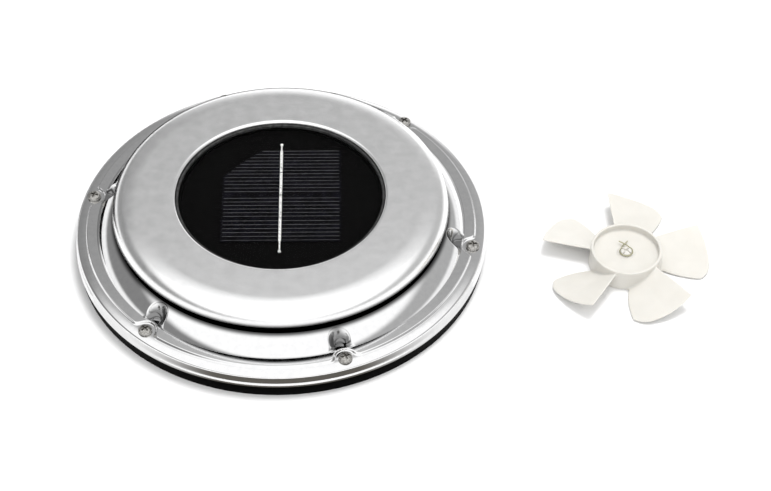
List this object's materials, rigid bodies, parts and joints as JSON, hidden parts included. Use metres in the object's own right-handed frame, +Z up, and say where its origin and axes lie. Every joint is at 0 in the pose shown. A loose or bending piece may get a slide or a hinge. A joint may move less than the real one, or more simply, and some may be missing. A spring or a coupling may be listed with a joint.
{
  "type": "solar attic fan",
  "caption": "Round low solar powered roof vent with a stainless rain cap, a trim ring, a duct fan inside and a spare impeller beside it.",
  "frame": {"origin": "on the roof plane (the base's underside), on the axis of the duct and the fan", "axes": "+Z up, away from the roof, along the fan's axis; +X towards the spare impeller; +Y towards the back, where the solar cells' cut corner is"},
  "size_m": [0.3368, 0.22, 0.0365],
  "materials": {
    "cap_steel": "satin",
    "trim_steel": "polished",
    "screw_steel": "satin",
    "base_plastic": "moulded",
    "foam_rubber": "matte",
    "seal_rubber": "matte",
    "window_clear": "clear",
    "tray_plastic": "smooth",
    "cell_silicon": "satin",
    "finger_silver": "satin",
    "ribbon_tin": "satin",
    "lead_red": "smooth",
    "lead_black": "smooth",
    "motor_steel": "zinc plated",
    "motor_plastic": "moulded",
    "bush_bronze": "satin",
    "magnet_ferrite": "matte",
    "copper": "satin",
    "impeller_plastic": "moulded",
    "clip_steel": "zinc plated"
  },
  "bodies": {
    "vent": {"base": "base_plastic", "roof_gasket": "foam_rubber", "trim_ring": "trim_steel", "trim_screws": "screw_steel", "rain_cap": "cap_steel", "cap_studs": "screw_steel", "cap_nuts": "screw_steel", "cap_seal": "seal_rubber", "window": "window_clear", "window_seal": "seal_rubber", "cell_tray": "tray_plastic", "solar_cells": "cell_silicon", "cell_fingers": "finger_silver", "cell_ribbons": "ribbon_tin", "solder_tails": "ribbon_tin", "positive_lead": "lead_red", "negative_lead": "lead_black", "carrier": "base_plastic", "carrier_posts": "base_plastic", "motor_bracket": "base_plastic", "carrier_screws": "screw_steel", "motor_retainer": "motor_plastic", "retainer_screws": "screw_steel", "motor_can": "motor_steel", "motor_end_cap": "motor_plastic", "front_bush": "bush_bronze", "rear_bush": "bush_bronze", "motor_magnets": "magnet_ferrite", "motor_brushes": "copper", "motor_terminals": "copper"},
    "rotor": {"motor_shaft": "motor_steel", "armature_core": "motor_steel", "armature_windings": "copper", "commutator": "copper", "thrust_washer": "bush_bronze", "exhaust_impeller": "impeller_plastic", "exhaust_shaft_clip": "clip_steel"},
    "spare_impeller": {"intake_impeller": "impeller_plastic", "intake_shaft_clip": "clip_steel"}
  },
  "joints": [
    {"name": "impeller_spin", "type": "hinge", "parent": "vent", "child": "rotor", "pos_m": [0, 0, 0.02], "axis": [0, 0, 1], "continuous": true},
    {"name": "intake_impeller_lift", "type": "slide", "parent": "vent", "child": "spare_impeller", "axis": [0, 0, 1], "range_m": [0, 0.08]}
  ]
}
